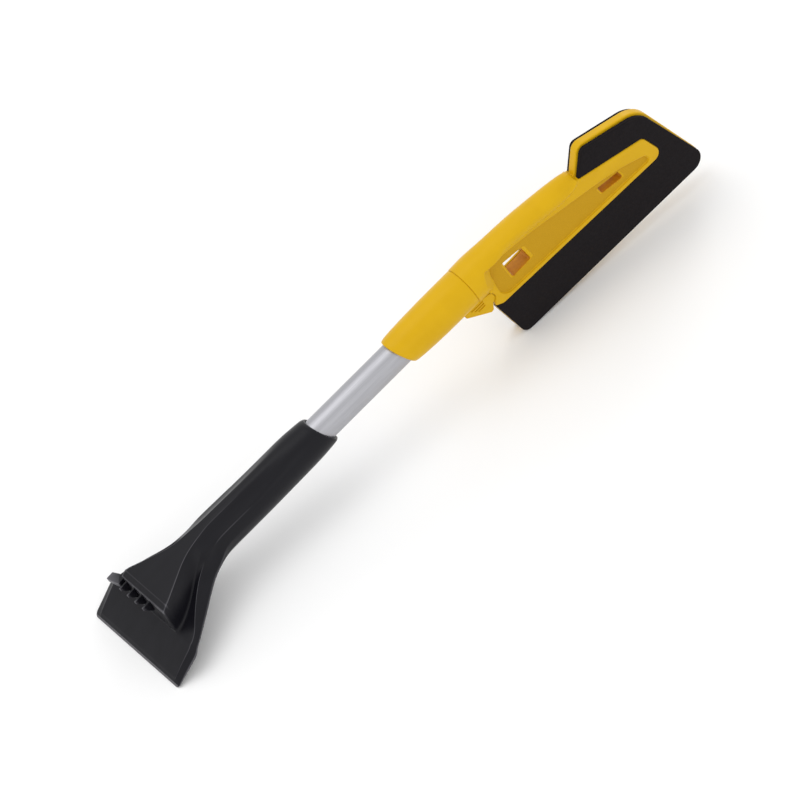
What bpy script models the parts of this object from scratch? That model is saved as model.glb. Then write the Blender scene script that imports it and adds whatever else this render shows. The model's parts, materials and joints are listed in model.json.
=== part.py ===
"""Windshield ice scraper: a black grip with an ice blade, an aluminium tube and a foam snow head.

Lengths are millimetres in the tool's own frame, which MM turns into metres: +X runs along the
tube towards the snow head, +Z is away from the blade, and the front is -Y. The empty "tool"
then sets the whole tool down on its blade edge and the lower corner of its foam.
"""

import math

import bmesh
import bpy
from mathutils import Vector

MM = 0.001
GAP = 0.3  # clearance between neighbouring pieces

# tube
TUBE_R = 12.5
TUBE_WALL = 1.2
TUBE_LOW = -175.0
TUBE_HIGH = 68.5
PLUG_FLANGE = 1.5
PLUG_LENGTH = 15.0

# oblique ends of the grip and the collar
END_SLOPE = 0.45  # how far the end moves towards the blade per millimetre of height
GRIP_END = -62.7
COLLAR_END = 26.6

# collar and the swivel
COLLAR_R = 17.8
SEAM = 101.5  # ring seam between the collar and the neck
SPIGOT_R = 13.6
SPIGOT_END = 117.5
SOCKET_R = SPIGOT_R + GAP
GROOVE_R = 12.4  # ring groove that the latch nose runs in
GROOVE = (102.4, 107.6)
RING = (111.0, 113.6)  # place of the friction ring

# blade
BLADE_HALF = 59.5
BLADE_EDGE = -292.0
BLADE_DROP = 34.6
BLADE_SLOPE = 0.48
BLADE_RIM = 6.5  # width of the bevel along each side of the blade
LIP_FRONT = -259.0  # front of the bevelled lip that ends the deck
LIP_TOP = 9.8
WALL_FOOT = -261.5  # foot of the wall under the lip
TEETH = 4
FIRST_TOOTH = -9.2  # y of the foremost tooth
TOOTH_PITCH = 10.7
TOOTH_LENGTH = 8.4
TOOTH_HALF = 0.8
# plan of the wide tooth at the rear corner of the deck: x, y
CORNER_TOOTH = ((-257.0, 27.5), (-258.0, 33.9), (-261.0, 40.8), (-268.0, 40.4), (-266.3, 31.8))
CORNER_TOOTH += ((-265.0, 27.5),)
CORNER_TOOTH_DEPTH = 5.5

# snow head
CORE_HALF = 3.7
FOAM = (4.0, 8.0)
TONGUE_HALF = 8.8
PANEL_HALF = 6.8
FOOT_RADIUS = 8.0  # rounding of the foam's lower corner, on which the tool stands
# outline of the foam: x, z, corner radius, from the heel over the top to the foot
HEAD_OUTLINE = (
    (228.5, 1.9, 0.0),
    (244.5, 25.6, 6.0),
    (302.6, 7.0, 26.0),
    (333.2, -91.2, 12.0),
    (121.2, -86.3, FOOT_RADIUS),
    (112.6, -35.5, 1.0),
)
FOOT = 4  # index of the foot corner in HEAD_OUTLINE
# the core stands proud of the foam along the top, where these corners take the place of the foam's
CORE_TOP = ((227.0, 3.0, 0.0), (243.6, 28.2, 8.0), (304.5, 8.8, 28.0))

# latch
PIVOT = (111.0, -25.5)
LEVER_HALF = 7.6
LEVER_REAR_R = 5.7
PIVOT_HOLLOW_R = 6.05  # hollow in the web behind the lever
PIN_R = 1.5
GROOVE_TOP = -20.6  # z of the topmost gripping groove in the lever's sides
GROOVE_PITCH = 2.8

# screws
SCREW_R = 1.6
SCREW_HEAD_R = 3.3
SCREW_SEAT = 2.4  # depth of the counterbore for a screw head
GRIP_SCREW_X = -166.0
GRIP_UNDER = 18.0  # depth of the grip below the axis at its screw
COLLAR_SCREW_X = 60.0
COVER_SCREW_R = 1.2
COVER_HEAD_R = 2.6
COVER_SEAT = 0.9
COVER_SCREWS = ((131.0, -18.0), (174.0, -8.5), (174.0, -28.0), (275.5, -34.0))

# ---------------------------------------------------------------- scene set-up

for old in list(bpy.data.objects):
    bpy.data.objects.remove(old, do_unlink=True)


def new_collection(name):
    """Add a collection to the scene."""
    found = bpy.data.collections.get(name) or bpy.data.collections.new(name)
    if name not in bpy.context.scene.collection.children:
        bpy.context.scene.collection.children.link(found)
    return found


PARTS = new_collection("ice_scraper")
CUTTERS = new_collection("cutters")

TOOL = bpy.data.objects.new("tool", None)
PARTS.objects.link(TOOL)


def material(name, colour, roughness, metallic=0.0):
    """A plain Principled BSDF."""
    mat = bpy.data.materials.new(name)
    mat.use_nodes = True
    shader = mat.node_tree.nodes["Principled BSDF"]
    shader.inputs["Base Color"].default_value = (*colour, 1.0)
    shader.inputs["Roughness"].default_value = roughness
    shader.inputs["Metallic"].default_value = metallic
    return mat


YELLOW = (0.66, 0.40, 0.008)


# ---------------------------------------------------------------- modelling helpers


def place(obj, mat=None, cutter=False):
    """Put an object in the tool's frame, in the parts or in the cutters collection."""
    (CUTTERS if cutter else PARTS).objects.link(obj)
    obj.parent = TOOL
    if cutter:
        obj.hide_render = True
        obj.display_type = "WIRE"
    if mat:
        obj.data.materials.clear()
        obj.data.materials.append(mat)
    return obj


def baked(obj):
    """Turn an object's modifiers, or a curve, into a plain mesh with its rotation applied."""
    bpy.context.scene.collection.objects.link(obj)
    bpy.context.view_layer.update()
    graph = bpy.context.evaluated_depsgraph_get()
    mesh = bpy.data.meshes.new_from_object(obj.evaluated_get(graph))
    mesh.transform(obj.matrix_world)
    name = obj.name
    bpy.data.objects.remove(obj, do_unlink=True)
    bm = bmesh.new()
    bm.from_mesh(mesh)
    bmesh.ops.remove_doubles(bm, verts=bm.verts, dist=0.00001)
    bmesh.ops.recalc_face_normals(bm, faces=bm.faces)
    bm.to_mesh(mesh)
    bm.free()
    mesh.name = name
    return bpy.data.objects.new(name, mesh)


def turned(name, profile, steps=48, closed=False, centre=(0, 0, 0), rotation=(0, math.pi / 2, 0)):
    """Turn a profile of (radius, height) points; it lies along +X unless rotated otherwise."""
    mesh = bpy.data.meshes.new(name)
    verts = [(r * MM, 0, h * MM) for r, h in profile]
    edges = [(i, i + 1) for i in range(len(verts) - 1)]
    if closed:
        edges.append((len(verts) - 1, 0))
    mesh.from_pydata(verts, edges, [])
    obj = bpy.data.objects.new(name, mesh)
    screw = obj.modifiers.new("turn", "SCREW")
    screw.axis = "Z"
    screw.steps = steps
    screw.render_steps = steps
    screw.use_merge_vertices = True
    screw.merge_threshold = 0.00001
    obj.rotation_euler = rotation
    obj.location = Vector(centre) * MM
    return baked(obj)


def plate(name, outline, low, high):
    """A flat outline of (x, z) points, solid from y = low to y = high."""
    curve = bpy.data.curves.new(name, "CURVE")
    curve.dimensions = "2D"
    curve.fill_mode = "BOTH"
    curve.extrude = (high - low) / 2 * MM
    spline = curve.splines.new("POLY")
    spline.points.add(len(outline) - 1)
    for point, (x, z) in zip(spline.points, outline):
        point.co = (x * MM, z * MM, 0, 1)
    spline.use_cyclic_u = True
    obj = bpy.data.objects.new(name, curve)
    obj.rotation_euler = (math.pi / 2, 0, 0)
    obj.location = (0, (high + low) / 2 * MM, 0)
    return baked(obj)


def corner_arc(corners, i):
    """Centre, start and finish of the arc that rounds corner i."""
    x, z, radius = corners[i]
    here = Vector((x, z))
    back = (Vector(corners[i - 1][:2]) - here).normalized()
    ahead = (Vector(corners[(i + 1) % len(corners)][:2]) - here).normalized()
    half = back.angle(ahead) / 2
    centre = here + (back + ahead).normalized() * (radius / math.sin(half))
    reach = radius / math.tan(half)
    return centre, here + back * reach, here + ahead * reach


def rounded(corners, per_corner=6):
    """An outline from (x, z, radius) corners, each radius drawn as an arc."""
    outline = []
    for i, (x, z, radius) in enumerate(corners):
        if not radius:
            outline.append((x, z))
            continue
        centre, start, finish = corner_arc(corners, i)
        start, finish = start - centre, finish - centre
        sweep = start.angle_signed(finish)
        for k in range(per_corner + 1):
            angle = -sweep * k / per_corner
            c, s = math.cos(angle), math.sin(angle)
            outline.append((centre.x + c * start.x - s * start.y, centre.y + s * start.x + c * start.y))
    return outline


def loft(name, sections):
    """A closed skin over sections of equal point count, capped at both ends."""
    mesh = bpy.data.meshes.new(name)
    bm = bmesh.new()
    rings = [[bm.verts.new(Vector(p) * MM) for p in section] for section in sections]
    count = len(rings[0])
    for a, b in zip(rings, rings[1:]):
        for i in range(count):
            j = (i + 1) % count
            bm.faces.new((a[i], a[j], b[j], b[i]))
    bm.faces.new(rings[0])
    bm.faces.new(rings[-1])
    bmesh.ops.recalc_face_normals(bm, faces=bm.faces)
    bm.to_mesh(mesh)
    bm.free()
    return bpy.data.objects.new(name, mesh)


def box(name, low, high):
    """A box between two corners."""
    mesh = bpy.data.meshes.new(name)
    bm = bmesh.new()
    bmesh.ops.create_cube(bm, size=1.0)
    low, high = Vector(low), Vector(high)
    for vert in bm.verts:
        vert.co = (low + Vector(((c + 0.5) * (h - l) for c, l, h in zip(vert.co, low, high)))) * MM
    bm.to_mesh(mesh)
    bm.free()
    return bpy.data.objects.new(name, mesh)


def rod(name, start, end, radius, steps=24):
    """A round bar between two points, used for pins and for drilling."""
    axis = Vector(end) - Vector(start)
    turn = axis.to_track_quat("Z", "Y").to_euler()
    profile = [(0, axis.length), (radius, axis.length), (radius, 0), (0, 0)]
    return turned(name, profile, steps, centre=start, rotation=turn)


def cut(target, tool, operation="DIFFERENCE"):
    """Boolean one object with another, which becomes a cutter."""
    place(tool, cutter=True)
    step = target.modifiers.new(tool.name, "BOOLEAN")
    step.operation = operation
    step.object = tool
    return target


def add(target, tool):
    """Join another solid to a piece."""
    return cut(target, tool, "UNION")


def smooth(obj, angle=35):
    """Shade a piece smooth, with its real edges sharp."""
    obj.data.shade_smooth()
    obj.data.set_sharp_from_angle(angle=math.radians(angle))
    return obj


def monotone(keys, x):
    """Value at x of a smooth curve through (x, value) keys that never overshoots them."""
    if x <= keys[0][0]:
        return keys[0][1]
    if x >= keys[-1][0]:
        return keys[-1][1]
    steps = [(b[1] - a[1]) / (b[0] - a[0]) for a, b in zip(keys, keys[1:])]
    slopes = [steps[0]]
    for left, right in zip(steps, steps[1:]):
        slopes.append(0.0 if left * right <= 0 else 2 * left * right / (left + right))
    slopes.append(steps[-1])
    i = next(n for n in range(len(steps)) if x <= keys[n + 1][0])
    width = keys[i + 1][0] - keys[i][0]
    t = (x - keys[i][0]) / width
    start = keys[i][1] * (1 + 2 * t) * (1 - t) ** 2 + slopes[i] * width * t * (1 - t) ** 2
    finish = keys[i + 1][1] * t * t * (3 - 2 * t) + slopes[i + 1] * width * t * t * (t - 1)
    return start + finish


def blend(low, high, x):
    """0 below low, 1 above high, smooth between."""
    t = min(1.0, max(0.0, (x - low) / (high - low)))
    return t * t * (3 - 2 * t)


# ---------------------------------------------------------------- scraper and grip

# Half of a section, from the top centre round the front to the bottom centre:
# deck middle, deck half way, deck edge, wall, valley, rise, ridge, shoulder,
# rim top, rim bottom, three points of the underside.
GRIP_ANGLES = (0, 6, 12, 23, 34, 45, 56, 68, 88, 112, 135, 158, 180)
DECK_EDGE = 2
RIDGE = 6
FLANK_DEPTH = 0.6  # hollow of the flat flank between deck edge and ridge

GRIP_RADIUS = [(-180, 19.1), (-130, 18.7), (-95, 18.3), (-84, 18.0), (-72, 17.1), (-65, 16.4)]
GRIP_RADIUS += [(-62.7, 15.2)]
GRIP_LIFT = [(-180, -0.2), (-130, -0.5), (-95, -0.2)]

# x, deck half width, deck z, valley (y, z), ridge (y, z), rim (y, z), keel z
FLARE = (
    (-197, 5.8, 17.8, 12.0, 12.4, 17.0, 7.8, 25.0, -4.4, -18.6),
    (-209, 7.8, 16.7, 15.5, 6.8, 20.0, 5.2, 28.7, -7.1, -18.7),
    (-220, 11.7, 15.8, 19.5, 1.6, 25.5, 2.4, 34.3, -10.2, -18.8),
    (-231, 17.4, 14.9, 25.0, -3.6, 33.0, -1.0, 41.6, -12.0, -18.9),
    (-243, 23.8, 14.0, 30.0, -8.6, 42.0, -6.2, 48.6, -14.6, -19.0),
    (-253.5, 29.0, 13.2, 32.5, -12.4, 50.6, -11.0, 54.2, -17.4, -19.4),
    (-259, 29.6, 9.8, 33.0, -13.6, 53.0, -13.0, 57.4, -18.0, -19.6),
)


def grip_half(x):
    """Half section of the round grip, whose upper flanks flatten towards the deck."""
    radius = monotone(GRIP_RADIUS, x)
    lift = monotone(GRIP_LIFT, x)
    angles = [math.radians(a) for a in GRIP_ANGLES]
    half = [Vector((radius * math.sin(a), lift + radius * math.cos(a))) for a in angles]
    start, finish = half[DECK_EDGE], half[RIDGE]
    inward = (Vector((0.0, lift)) - (start + finish) / 2).normalized()
    flatness = 1 - blend(-150, -80, x)
    for i in range(DECK_EDGE + 1, RIDGE):
        t = (i - DECK_EDGE) / (RIDGE - DECK_EDGE)
        flat = start.lerp(finish, t) + inward * FLANK_DEPTH * 4 * t * (1 - t)
        half[i] = half[i].lerp(flat, flatness)
    return [tuple(point) for point in half]


def flare_half(row):
    """Half section where the grip opens into deck, valley and wing."""
    _, deck, deck_z, valley, valley_z, ridge, ridge_z, rim, rim_z, keel = row
    return [
        (0, deck_z),
        (deck * 0.55, deck_z),
        (deck, deck_z),
        (deck + 0.8, deck_z - 1.2),
        (valley, valley_z),
        ((valley + ridge) / 2 + 1.0, (valley_z + ridge_z) / 2 - 0.6),
        (ridge, ridge_z),
        (ridge + 1.2, ridge_z - 0.9),
        (rim, rim_z + 1.4),
        (rim - 0.6, rim_z - 0.4),
        (rim * 0.7, rim_z + (keel - rim_z) * 0.55),
        (rim * 0.36, rim_z + (keel - rim_z) * 0.92),
        (0, keel),
    ]


def blade_half(x, thickness, half):
    """Half section of the flat blade, with a bevelled rim along its side."""
    under = -BLADE_DROP + BLADE_SLOPE * (x - BLADE_EDGE)
    top = under + thickness
    flat = half - BLADE_RIM
    points = [(flat * share, top) for share in (0, 0.3, 0.55, 0.58, 0.63, 0.82)]
    points += [(flat, top), (flat + 0.8, top - 0.15 * thickness), (half, under + 0.35 * thickness)]
    points += [(half - 0.5, under), (half * 0.7, under), (half * 0.36, under), (0, under)]
    return points


def whole(half, x, lean=0.0):
    """Mirror a half section and place it at x, leaning with height."""
    front = [(-y, z) for y, z in half]
    rear = [(y, z) for y, z in reversed(half[1:-1])]
    return [(x - lean * z, y, z) for y, z in front + rear]


def scraper_sections():
    """All sections of the moulding, from the cutting edge to the oblique end of the grip."""
    keys = [(row[0], flare_half(row)) for row in FLARE]
    keys += [(x, grip_half(x)) for x in (-180, -172)]
    keys.sort()
    sections = [
        whole(blade_half(-292.0, 0.9, BLADE_HALF - 2.6), -292.0),
        whole(blade_half(-291.0, 1.4, BLADE_HALF - 1.0), -291.0),
        whole(blade_half(-289.0, 2.2, BLADE_HALF), -289.0),
        whole(blade_half(-277.0, 4.6, BLADE_HALF + 0.2), -277.0),
        whole(blade_half(-264.0, 5.8, BLADE_HALF + 0.8), -264.0),
        whole(blade_half(WALL_FOOT, 6.0, BLADE_HALF - 0.2), WALL_FOOT),
    ]
    x = LIP_FRONT
    while x < -180:
        half = [
            (
                monotone([(k, points[i][0]) for k, points in keys], x),
                monotone([(k, points[i][1]) for k, points in keys], x),
            )
            for i in range(len(GRIP_ANGLES))
        ]
        sections.append(whole(half, x))
        x += 5.5 if x < -253.5 else 4.1
    for x in (-178, -165, -145, -125, -110, -100, -92, -84, -78, -72, -68, -65, -63.4, GRIP_END):
        lean = END_SLOPE * blend(-112, -80, x)
        sections.append(whole(grip_half(x), x, lean))
    return sections


def tooth(name, low_y, high_y, narrow):
    """One ice-breaker tooth, an upright rib in front of the lip, narrower at its tip."""
    top = LIP_TOP - 0.7
    base, tip = LIP_FRONT + 2.0, LIP_FRONT - TOOTH_LENGTH
    root = [(base, low_y, top), (base, high_y, top), (base, high_y, top - 16), (base, low_y, top - 16)]
    low_y, high_y = low_y + narrow, high_y - narrow
    point = [(tip, low_y, top - 0.5), (tip, high_y, top - 0.5)]
    point += [(tip, high_y, top - 4), (tip, low_y, top - 4)]
    return loft(name, [root, point])


def corner_tooth():
    """The wide tooth that stands out past the rear corner of the deck."""
    top = LIP_TOP - 0.7
    levels = (top - CORNER_TOOTH_DEPTH, top)
    return loft("corner_tooth", [[(x, y, z) for x, y in CORNER_TOOTH] for z in levels])


def build_scraper(mat):
    """The black moulding: grip, flare, deck, teeth and blade."""
    body = loft("scraper_grip", scraper_sections())
    for index in range(TEETH):
        y = FIRST_TOOTH + index * TOOTH_PITCH
        add(body, tooth(f"tooth_{index + 1}", y - TOOTH_HALF, y + TOOTH_HALF, 0.2))
    add(body, corner_tooth())
    cut(body, rod("grip_bore", (TUBE_LOW - PLUG_FLANGE - 2 * GAP, 0, 0), (-40, 0, 0), TUBE_R + GAP, 48))
    seat = (GRIP_SCREW_X, 0, -GRIP_UNDER + SCREW_SEAT)
    counterbored(body, "grip_hole", seat, (0, 0, 1), SCREW_R, SCREW_HEAD_R)
    return place(smooth(body), mat)


# ---------------------------------------------------------------- tube, plugs and collar


def drilled(target, name, start, end, radius):
    """Clearance hole for a screw or pin."""
    return cut(target, rod(name, start, end, radius + GAP, 16))


def counterbored(target, name, seat, direction, shank, head):
    """Clearance hole for a screw with a wider seat for its head, open on the head's side."""
    turn = Vector(direction).to_track_quat("Z", "Y").to_euler()
    shank, head = shank + GAP, head + GAP
    profile = [(0, 14), (shank, 14), (shank, 0), (head, 0), (head, -14), (0, -14)]
    return cut(target, turned(name, profile, 24, centre=seat, rotation=turn))


def build_tube(mat):
    """The aluminium tube with a hole for the screw near each end."""
    inner = TUBE_R - TUBE_WALL
    wall = [(TUBE_R, TUBE_HIGH), (TUBE_R, TUBE_LOW), (inner, TUBE_LOW), (inner, TUBE_HIGH)]
    tube = turned("handle_tube", wall, 48, closed=True)
    for x in (GRIP_SCREW_X, COLLAR_SCREW_X):
        drilled(tube, f"tube_hole_{x:.0f}", (x, 0, -30), (x, 0, -4), SCREW_R)
    return place(smooth(tube), mat)


def build_plug(name, end, inward, screw_x, mat):
    """A flanged plug that closes one end of the tube and takes the screw."""
    core = TUBE_R - TUBE_WALL - GAP
    flange = TUBE_R - 0.4
    near = end - inward * GAP
    profile = [
        (0, end + inward * PLUG_LENGTH),
        (core - 0.6, end + inward * PLUG_LENGTH),
        (core, end + inward * (PLUG_LENGTH - 1)),
        (core, near),
        (flange, near),
        (flange, near - inward * PLUG_FLANGE),
        (0, near - inward * PLUG_FLANGE),
    ]
    if inward < 0:
        profile.reverse()
    plug = turned(name, profile, 40)
    drilled(plug, name + "_hole", (screw_x, 0, -30), (screw_x, 0, -3), SCREW_R)
    return place(smooth(plug), mat)


def build_collar(mat):
    """Sleeve on the tube, oblique at the lower end, with a spigot for the neck."""
    bore = TUBE_R + GAP
    stop = TUBE_HIGH + PLUG_FLANGE + 2 * GAP
    # radius, x and how far each ring leans with the oblique end
    rings = [
        (SPIGOT_R - 1.0, SPIGOT_END, 0),
        (SPIGOT_R, SPIGOT_END - 1.0, 0),
        (SPIGOT_R, RING[1] + GAP, 0),
        (SPIGOT_R - 1.6, RING[1] + GAP, 0),
        (SPIGOT_R - 1.6, RING[0] - GAP, 0),
        (SPIGOT_R, RING[0] - GAP, 0),
        (SPIGOT_R, GROOVE[1], 0),
        (GROOVE_R, GROOVE[1], 0),
        (GROOVE_R, GROOVE[0], 0),
        (SPIGOT_R, GROOVE[0], 0),
        (SPIGOT_R, SEAM, 0),
        (COLLAR_R - 0.7, SEAM, 0),
        (COLLAR_R, SEAM - 0.9, 0),
        (COLLAR_R, 84, 0),
        (COLLAR_R - 0.1, 66, 0.2),
        (COLLAR_R - 0.5, 50, 0.6),
        (COLLAR_R - 1.1, COLLAR_END + 10, 1),
        (COLLAR_R - 1.7, COLLAR_END + 3.5, 1),
        (COLLAR_R - 2.2, COLLAR_END + 1.2, 1),
        (COLLAR_R - 3.0, COLLAR_END, 1),
        (bore + 0.4, COLLAR_END, 1),
        (bore, COLLAR_END + 1, 1),
        (bore, stop, 0),
        (SPIGOT_R - 4.0, stop, 0),
        (SPIGOT_R - 4.0, SPIGOT_END, 0),
    ]
    collar = turned("collar", [(r, x) for r, x, _ in rings], 56, closed=True)
    lean_of = [(x, lean) for _, x, lean in rings]
    for vert in collar.data.vertices:
        x = vert.co.x / MM
        lean = max((lean for at, lean in lean_of if abs(at - x) < 0.01), default=0)
        vert.co.x -= END_SLOPE * lean * vert.co.z
    seat = (COLLAR_SCREW_X, 0, -COLLAR_R + SCREW_SEAT)
    counterbored(collar, "collar_hole", seat, (0, 0, 1), SCREW_R, SCREW_HEAD_R)
    return place(smooth(collar), mat)


def build_screw(name, seat, direction, length, shank, head, head_height, mat):
    """A pan-head screw whose head rests at seat and whose shank points along direction."""
    turn = Vector(direction).to_track_quat("Z", "Y").to_euler()
    profile = [
        (0, length),
        (shank * 0.35, length),
        (shank, length - 1.6),
        (shank, 0),
        (head, 0),
        (head, -head_height * 0.5),
        (head * 0.72, -head_height),
        (0, -head_height),
    ]
    screw = turned(name, profile, 20, centre=seat, rotation=turn)
    middle = Vector(seat) - Vector(direction) * head_height
    slot_half = Vector((head * 0.62, head * 0.62, head * 0.62))
    for n, across in enumerate(range(3)):
        if abs(direction[across]) > 0.5:
            continue
        size = Vector((0.35, 0.35, 0.35))
        size[across] = slot_half[across]
        size += Vector([abs(c) * 0.45 for c in direction])
        cut(screw, box(f"{name}_slot_{n}", middle - size, middle + size))
    return place(smooth(screw), mat)


# ---------------------------------------------------------------- snow head

# spine: x with the radius of its top, and with the angle from the top where that roundness ends
SPINE_RADIUS = [(101, 18.1), (116, 18.5), (135, 17.8), (164, 16.2), (193, 13.6), (213, 11.3), (224, 9.2)]
SPINE_RADIUS += [(228.5, 7.0)]
SPINE_CREASE = [(101, 30), (140, 36), (190, 58), (212, 72), (222, 66), (227, 50)]
# z of the shell's lower edge, which stands proud of the tongue's face
SHELL_LOW = [(101, 13.0), (115, 11.5), (129, 8.8), (150, 5.2), (178, 1.6), (192, -0.6), (205, -1.8)]
SHELL_LOW += [(219, -1.4), (224, 0.5), (227, 3.6)]
SHELL_STEP = 1.2  # how far it stands proud
SPINE_END = 227.0
# the neck's cheeks slope in to the tongue's face: y, and x where the cut starts there
CHEEK_SLOPE = ((TONGUE_HALF + 0.15, 126.0), (18.6, 113.4), (40.0, 113.4))
CHEEK_END = 155.6
PANEL_TOP = [(101, 6.0), (117, 5.0), (149, 2.2), (172, -1.4), (201, -8.0), (243, -17.2), (263, -23.0)]
PANEL_TOP += [(283, -31.5)]
PANEL_BOTTOM = (-35.8, -42.0)  # z of the recess floor's lower side, at the root and at the tip

TONGUE_TOP = (222.0, 5.0)
TONGUE_TIP = ((293.4, -16.8, 7.0), (302.6, -47.2, 7.5))
TONGUE_ROOT = ((119.5, -39.8, 6.0), (112.9, -35.6, 0.6))

WINDOWS = (
    ((137.6, -6.0, 1.5), (157.4, -8.6, 1.5), (159.8, -25.8, 1.5), (138.8, -26.6, 1.5)),
    ((238.6, -22.8, 1.2), (260.4, -26.2, 1.2), (262.4, -34.8, 1.2), (240.0, -31.0, 1.2)),
)


def spine_section(x, grow=0.0):
    """Section of the neck and spine: round at the collar, flat-flanked towards the tip."""
    radius = monotone(SPINE_RADIUS, x) + grow
    crease = math.radians(monotone(SPINE_CREASE, x))
    low = monotone(SHELL_LOW, x) - grow
    flat = blend(112, 150, x)
    half = [(radius * math.sin(crease * k / 6), radius * math.cos(crease * k / 6)) for k in range(7)]
    edge_y, edge_z = half[-1]
    foot_y = TONGUE_HALF + SHELL_STEP - 0.6 * blend(222, SPINE_END, x) + grow
    remaining = math.pi - crease
    for k in range(1, 9):
        angle = crease + remaining * k / 8
        round_point = (radius * math.sin(angle), radius * math.cos(angle))
        if k <= 5:
            t = k / 5
            bulge = 0.9 * math.sin(math.pi * t)
            flat_point = (edge_y + (foot_y - edge_y) * t + bulge, edge_z + (low - edge_z) * t)
        else:
            flat_point = (foot_y * (8 - k) / 3, low - 0.2)
        half.append(tuple(a + (b - a) * flat for a, b in zip(round_point, flat_point)))
    half[-1] = (0.0, half[-1][1])
    return whole(half, x)


def spine(name, grow=0.0):
    """The curved bar that carries the head."""
    stations = [SEAM + GAP - grow, 103.5, 108, 112, 116, 120, 124, 128, 132, 137, 143, 150, 158]
    stations += [167, 177, 187, 197, 206, 213, 219, 223, 225.5, SPINE_END + grow]
    return loft(name, [spine_section(x, grow) for x in stations])


def cheek_cutter(name, side):
    """What is cut away beside the tongue, under the shell's edge, sloping in from the neck."""
    sections = []
    for y, start in CHEEK_SLOPE:
        edge = [start + (CHEEK_END - start) * k / 8 for k in range(9)]
        outline = [(x, monotone(SHELL_LOW, x) - 0.35) for x in edge]
        outline += [(CHEEK_END, -48.0), (start, -48.0)]
        sections.append([(x, side * y, z) for x, z in outline])
    return loft(name, sections)


def tongue_outline(grow=0.0):
    """Outline of the tongue and web, from the latch pivot round the tip."""
    px, pz = PIVOT
    hollow = PIVOT_HOLLOW_R - grow
    pocket = [
        (px + hollow * math.cos(math.radians(a)), pz + hollow * math.sin(math.radians(a)))
        for a in range(-62, 63, 14)
    ]
    (top_x, top_z), (upper, lower) = TONGUE_TOP, TONGUE_TIP
    corners = [(114.0, -12.0, 0), (135.0, 6.0, 0), (150.0, 9.0, 0), (top_x, top_z + grow, 0)]
    corners += [(upper[0] + grow, upper[1] + grow, upper[2] + grow)]
    corners += [(lower[0] + grow, lower[1] - grow, lower[2] + grow)]
    corners += [(x, z - grow, r) for x, z, r in TONGUE_ROOT]
    return rounded(corners) + pocket


def panel_outline():
    """Recess in the face of the tongue."""
    root, tip = PANEL_BOTTOM
    corners = [(122.5, 4.0, 6.0)]
    corners += [(x, monotone(PANEL_TOP, x), 0) for x in (149, 172, 201, 243, 263)]
    corners += [(286.8, -33.2, 2.6), (289.6, tip, 3.0), (122.0, root, 11.0)]
    return rounded(corners)


def cover_outline():
    """Rear cover, a little smaller than the recess that holds it."""
    root, tip = PANEL_BOTTOM
    corners = [(124.0, 1.5, 4.0)]
    corners += [(x, monotone(PANEL_TOP, x) - 1.2, 0) for x in (149, 172, 201, 243, 263)]
    corners += [(284.5, -33.8, 2.5), (286.5, tip + 1.0, 2.5), (123.4, root + 1.0, 10.0)]
    return rounded(corners)


def core_outline():
    """Flat plate between the foam sheets, running on inside the arm."""
    corners = list(CORE_TOP + HEAD_OUTLINE[len(CORE_TOP):])
    corners += [(118.5, -30.0, 0), (150.0, -6.0, 0), (215.0, -3.0, 0)]
    return rounded(corners)


def foam_outline():
    """Foam sheet: the head's outline, wrapped round the tongue."""
    corners = list(HEAD_OUTLINE)
    corners += [(130.0, -36.0, 0), (285.0, -30.0, 0), (240.0, -8.0, 0)]
    return rounded(corners)


def build_frame(mat):
    """The yellow moulding of the head."""
    body = spine("head_frame")
    for side in (-1, 1):
        cut(body, cheek_cutter(f"cheek_{side + 2}", side))
    add(body, plate("core", core_outline(), -CORE_HALF, CORE_HALF))
    add(body, plate("tongue", tongue_outline(), -TONGUE_HALF, TONGUE_HALF))
    cut(body, plate("panel_front", panel_outline(), -40, -PANEL_HALF))
    cut(body, plate("panel_rear", panel_outline(), PANEL_HALF, 40))
    for n, corners in enumerate(WINDOWS):
        cut(body, plate(f"window_{n + 1}", rounded(corners, 3), -40, 40))
    cut(body, rod("socket", (SEAM - 5, 0, 0), (SPIGOT_END + 2 * GAP, 0, 0), SOCKET_R, 56))
    cut(body, box("nose_slot", (GROOVE[0] + 0.3, -4.8, -22), (GROOVE[1] + 0.2, 4.8, -10)))
    px, pz = PIVOT
    lug = [(px - 0.5, -16.5, 0), (px + 9, -16.5, 0), (px + 9, pz - 4.2, 0)]
    lug += [(px, pz - 4.2, 3.7), (px - 3.8, pz, 3.0)]
    add(body, plate("lug", rounded(lug), -1.2, 4.6))
    drilled(body, "pivot_hole", (px, -12, pz), (px, 12, pz), PIN_R)
    for n, (x, z) in enumerate(COVER_SCREWS):
        drilled(body, f"boss_{n + 1}", (x, 12, z), (x, -2.6, z), COVER_SCREW_R)
    return place(smooth(body), mat)


def build_rear_cover(mat):
    """Cover that fills the rear recess."""
    cover = plate("arm_rear_cover", cover_outline(), PANEL_HALF + GAP, TONGUE_HALF)
    for n, corners in enumerate(WINDOWS):
        cut(cover, plate(f"cover_window_{n + 1}", rounded(corners, 3), -40, 40))
    for n, (x, z) in enumerate(COVER_SCREWS):
        seat = (x, TONGUE_HALF - COVER_SEAT, z)
        counterbored(cover, f"cover_hole_{n + 1}", seat, (0, -1, 0), COVER_SCREW_R, COVER_HEAD_R)
    return place(smooth(cover), mat)


def build_foam(name, side, mat):
    """One foam sheet, on the front (-1) or the rear (1)."""
    low, high = sorted((side * FOAM[0], side * FOAM[1]))
    sheet = plate(name, foam_outline(), low, high)
    cut(sheet, plate(name + "_tongue", tongue_outline(0.4), -20, 20))
    cut(sheet, spine(name + "_spine", 0.4))
    return place(smooth(sheet), mat)


# ---------------------------------------------------------------- latch and friction ring


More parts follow.
